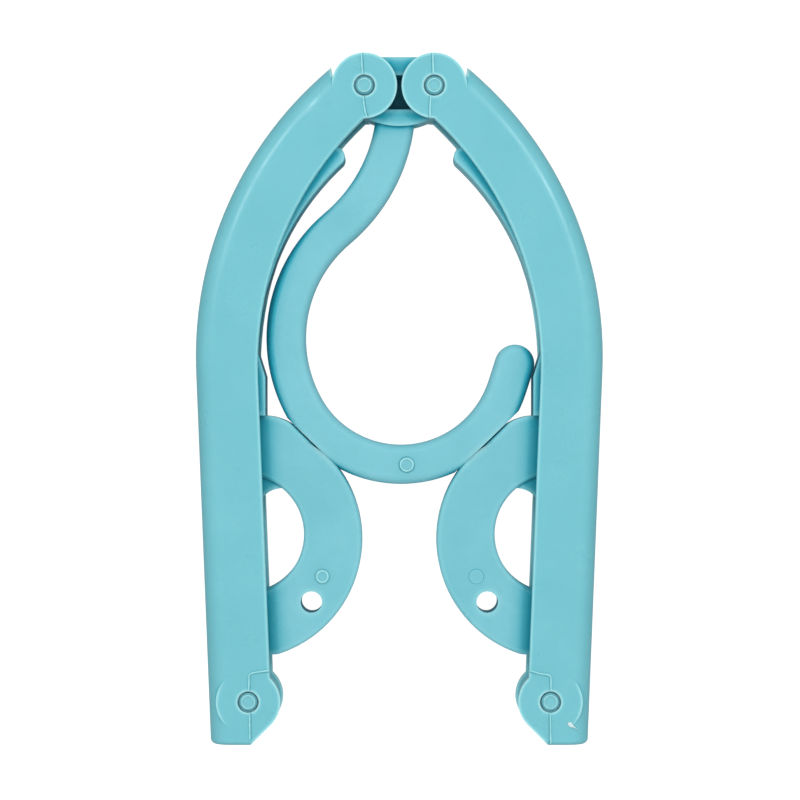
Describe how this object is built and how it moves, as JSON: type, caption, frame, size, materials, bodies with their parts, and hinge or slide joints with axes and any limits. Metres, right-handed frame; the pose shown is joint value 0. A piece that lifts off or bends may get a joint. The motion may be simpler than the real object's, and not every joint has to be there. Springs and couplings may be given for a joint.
{
  "type": "folding clothes hanger",
  "caption": "Folding travel clothes hanger: channel arms swing out from a hook and pivot block to a stop, and bars with D-shaped loops fold out of the arms.",
  "frame": {"origin": "on the back face, under the middle of the folded hanger's bounding box", "axes": "+X across, towards the side that the hook opens to; +Y from the arms' lower ends to the pivot block; +Z from the back face to the front face"},
  "size_m": [0.082, 0.1386, 0.014],
  "materials": {
    "hook_plastic": "fine-grained matte moulded polypropylene",
    "arm_plastic": "smooth satin moulded polypropylene",
    "bar_plastic": "fine-grained matte moulded polypropylene",
    "pin_plastic": "smooth satin moulded plastic"
  },
  "bodies": {
    "hook": {"hook": "hook_plastic", "upper_pin_left": "pin_plastic", "upper_pin_right": "pin_plastic"},
    "arm_left": {"arm_left": "arm_plastic"},
    "arm_right": {"arm_right": "arm_plastic"},
    "loop_bar_left": {"loop_bar_left": "bar_plastic", "lower_pin_left": "pin_plastic"},
    "loop_bar_right": {"loop_bar_right": "bar_plastic", "lower_pin_right": "pin_plastic"}
  },
  "joints": [
    {"name": "arm_left_fold", "type": "hinge", "parent": "hook", "child": "arm_left", "pos_m": [-0.007, 0.06277, 0.007], "axis": [0, 0, -1], "range_deg": [0, 100]},
    {"name": "loop_bar_left_fold", "type": "hinge", "parent": "arm_left", "child": "loop_bar_left", "pos_m": [-0.03025, -0.06062, 0.007], "axis": [0, 0, -1], "range_deg": [0, 180]},
    {"name": "arm_right_fold", "type": "hinge", "parent": "hook", "child": "arm_right", "pos_m": [0.007, 0.06277, 0.007], "axis": [0, 0, 1], "range_deg": [0, 100]},
    {"name": "loop_bar_right_fold", "type": "hinge", "parent": "arm_right", "child": "loop_bar_right", "pos_m": [0.03025, -0.06062, 0.007], "axis": [0, 0, 1], "range_deg": [0, 180]}
  ],
  "couplings": [
    {"joint": "loop_bar_left_fold", "follows": "arm_left_fold", "ratio": 0.15},
    {"joint": "loop_bar_right_fold", "follows": "arm_right_fold", "ratio": 0.15}
  ]
}
